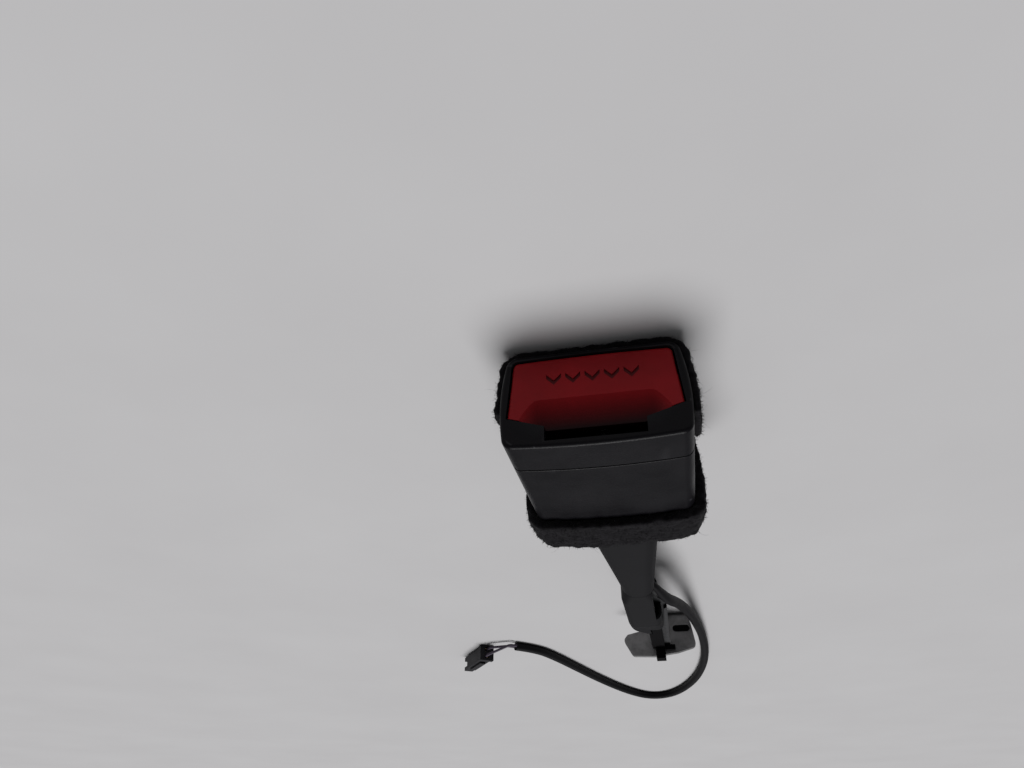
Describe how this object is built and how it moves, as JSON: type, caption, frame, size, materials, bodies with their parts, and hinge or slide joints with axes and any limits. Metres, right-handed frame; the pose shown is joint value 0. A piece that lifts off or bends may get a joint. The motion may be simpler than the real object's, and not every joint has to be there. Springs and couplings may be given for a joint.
{
  "type": "seat belt buckle",
  "caption": "Seat belt buckle with a red release button, tongue slot, latch, ejector and belt switch, on a booted wire-rope stalk with a bolt-down anchor bracket and a short switch cable.",
  "frame": {"origin": "bottom centre of the buckle, stalk and anchor's box, without the free switch cable", "axes": "+Y from the buckle's end towards the anchor, +Z from the buckle's back to its front, X across"},
  "size_m": [0.1483, 0.4578, 0.0326],
  "materials": {
    "head_plastic": "black grained plastic",
    "felt": "black needled felt",
    "button_plastic": "red satin plastic",
    "boot_plastic": "dark grey soft plastic",
    "clip_plastic": "black plastic",
    "ejector_plastic": "natural acetal",
    "switch_plastic": "black plastic",
    "steel": "hardened steel",
    "spring_steel": "spring wire",
    "rope_steel": "stranded steel rope",
    "zinc": "dull zinc plating",
    "contact_metal": "tinned brass",
    "cable_jacket": "black flexible sleeve",
    "wire_jacket": "purple-grey wire insulation"
  },
  "bodies": {
    "body": {"top_cap": "head_plastic", "front_shell": "head_plastic", "rear_shell": "head_plastic", "cover_screws": "zinc", "felt_band": "felt", "felt_collar": "felt", "button_springs": "spring_steel", "buckle_frame": "steel", "latch_pivot_pin": "steel", "latch_spring": "spring_steel", "ejector_spring": "spring_steel", "switch_housing": "switch_plastic", "switch_contacts": "contact_metal", "rope_rivet": "steel", "wire_rope": "rope_steel", "stalk_boot": "boot_plastic", "switch_cable": "cable_jacket", "rope_ferrule": "zinc", "anchor_strap": "zinc", "crimp_cover": "boot_plastic", "anchor_bracket": "zinc", "slot_plug": "clip_plastic", "wiring_clip": "clip_plastic", "cable_sleeve": "cable_jacket", "connector_housing": "clip_plastic", "connector_terminals": "contact_metal", "tail_wire_1": "wire_jacket", "tail_wire_2": "wire_jacket"},
    "button": {"release_button": "button_plastic"},
    "latch": {"latch": "steel", "cam_pin": "steel"},
    "ejector": {"ejector": "ejector_plastic"},
    "switch_slider": {"switch_slider": "ejector_plastic", "contact_bridge": "contact_metal"}
  },
  "joints": [
    {"name": "button_press", "type": "slide", "parent": "body", "child": "button", "axis": [0, 1, 0], "range_m": [0, 0.0045], "stiffness_N_per_m": 800, "springref_m": -0.004, "deforming": ["button_springs"]},
    {"name": "latch_swing", "type": "hinge", "parent": "body", "child": "latch", "pos_m": [0, -0.1025, 0.0157], "axis": [1, 0, 0], "range_deg": [0, 14], "deforming": ["latch_spring"]},
    {"name": "ejector_slide", "type": "slide", "parent": "body", "child": "ejector", "axis": [0, 1, 0], "range_m": [0, 0.01], "stiffness_N_per_m": 300, "springref_m": -0.006, "deforming": ["ejector_spring"]},
    {"name": "slider_slide", "type": "slide", "parent": "body", "child": "switch_slider", "axis": [0, 1, 0], "range_m": [0, 0.01]}
  ],
  "couplings": [
    {"joint": "latch_swing", "follows": "button_press", "rad_per_m": 54.299},
    {"joint": "slider_slide", "follows": "ejector_slide", "ratio": 1}
  ]
}
